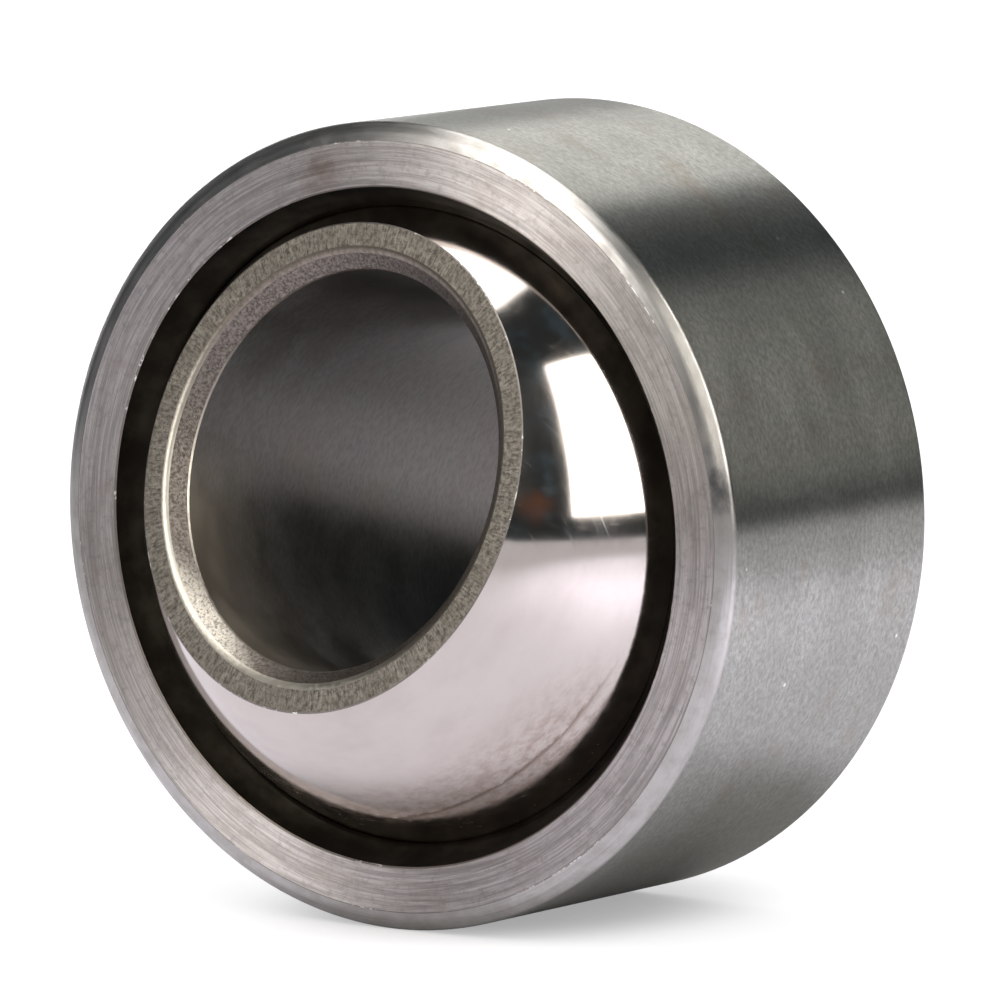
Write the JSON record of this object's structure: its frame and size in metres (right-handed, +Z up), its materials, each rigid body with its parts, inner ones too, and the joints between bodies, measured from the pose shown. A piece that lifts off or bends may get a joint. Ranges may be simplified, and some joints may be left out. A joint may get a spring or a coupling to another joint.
{
  "type": "spherical plain bearing",
  "caption": "Self-aligning plain bearing: a steel outer ring closed round a polished ball with a through bore, so a shaft in the bore can turn and tilt in its housing.",
  "frame": {"origin": "centre of the ball, which is also the centre of the outer ring and of its housing seat", "axes": "+Y along the outer ring's axis from the pictured front face to the back, +Z up, +X to the right as seen from the front"},
  "size_m": [0.04, 0.0308, 0.04],
  "materials": {
    "ground_steel": "ground outside, turned side faces with fine rings, dark mouth walls",
    "polished_ball": "mirror polished ball, matt ground end faces, satin bore"
  },
  "bodies": {
    "outer_ring": {"outer_ring": "ground_steel"},
    "inner_ring": {"inner_ring": "polished_ball"}
  },
  "joints": [
    {"name": "ball_tilt", "type": "hinge", "parent": "outer_ring", "child": "inner_ring", "pos_m": [0, 0, 0], "axis": [-0.9092, 0, -0.4163], "range_deg": [-36.3, 3.7]}
  ]
}
